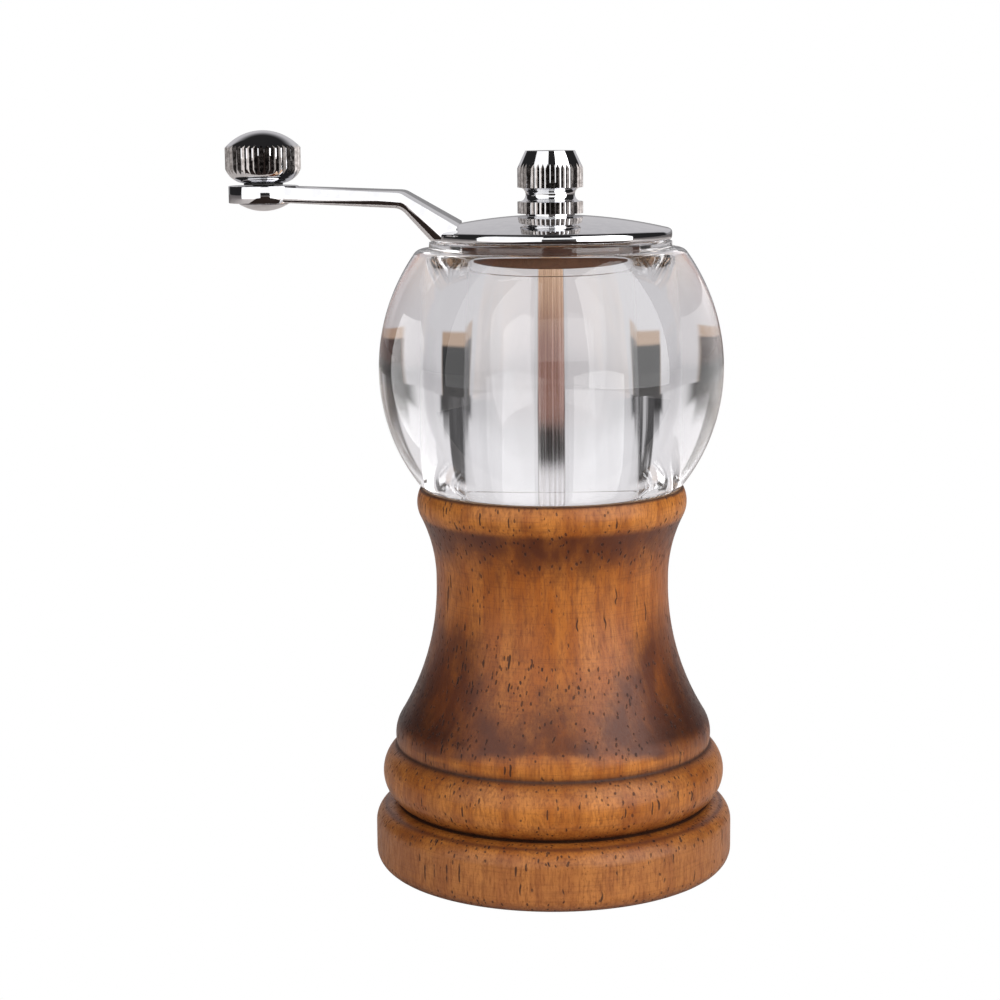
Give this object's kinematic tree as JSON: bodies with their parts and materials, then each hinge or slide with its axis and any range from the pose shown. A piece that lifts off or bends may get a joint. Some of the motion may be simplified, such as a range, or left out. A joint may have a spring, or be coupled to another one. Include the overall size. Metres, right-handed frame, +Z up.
{
  "type": "hand crank pepper mill",
  "caption": "Hand cranked pepper mill: turned wooden base, clear barrel hopper, domed cover with crank arm and knob, adjusting nut and conical grinding set.",
  "frame": {"origin": "centre of the foot, on the surface that the mill stands on", "axes": "+Z up along the shaft; the crank arm points along -X at rest"},
  "size_m": [0.0829, 0.06, 0.1232],
  "materials": {
    "stained_wood": "satin",
    "clear_acrylic": "gloss",
    "black_nylon": "matte",
    "white_nylon": "matte",
    "burr_ceramic": "satin",
    "steel": "satin",
    "spring_steel": "satin",
    "brushed_shaft": "satin",
    "chrome_plate": "polished",
    "brown_plug": "satin"
  },
  "bodies": {
    "mill_body": {"wood_base": "stained_wood", "clear_body": "clear_acrylic", "burr_housing": "black_nylon", "burr_ring": "burr_ceramic", "retaining_plate": "steel", "plate_screws": "steel"},
    "drive": {"drive_bush": "white_nylon", "thrust_washer": "steel", "grind_spring": "spring_steel"},
    "shaft": {"drive_shaft": "brushed_shaft", "burr_cone": "burr_ceramic", "cone_core": "black_nylon", "cone_washer": "steel", "cone_screw": "steel"},
    "cover": {"crank_cover": "chrome_plate", "cover_plug": "brown_plug"},
    "nut": {"adjusting_nut": "chrome_plate"},
    "knob": {"crank_knob": "chrome_plate", "knob_rivet": "chrome_plate", "knob_washer": "black_nylon"}
  },
  "joints": [
    {"name": "crank_turn", "type": "hinge", "parent": "mill_body", "child": "drive", "pos_m": [0, 0, 0], "axis": [0, 0, 1], "continuous": true},
    {"name": "grind_adjust", "type": "slide", "parent": "drive", "child": "shaft", "axis": [0, 0, 1], "range_m": [-0.0006, 0.0006], "deforming": ["grind_spring"]},
    {"name": "cover_lift", "type": "slide", "parent": "drive", "child": "cover", "axis": [0, 0, 1], "range_m": [0, 0.03]},
    {"name": "nut_turn", "type": "hinge", "parent": "cover", "child": "nut", "pos_m": [0, 0, 0.109], "axis": [0, 0, 1], "range_deg": [-310, 310]},
    {"name": "knob_spin", "type": "hinge", "parent": "cover", "child": "knob", "pos_m": [-0.0468, 0, 0.118], "axis": [0, 0, 1], "continuous": true}
  ],
  "couplings": [
    {"joint": "nut_turn", "follows": "grind_adjust", "rad_per_m": -8976}
  ]
}
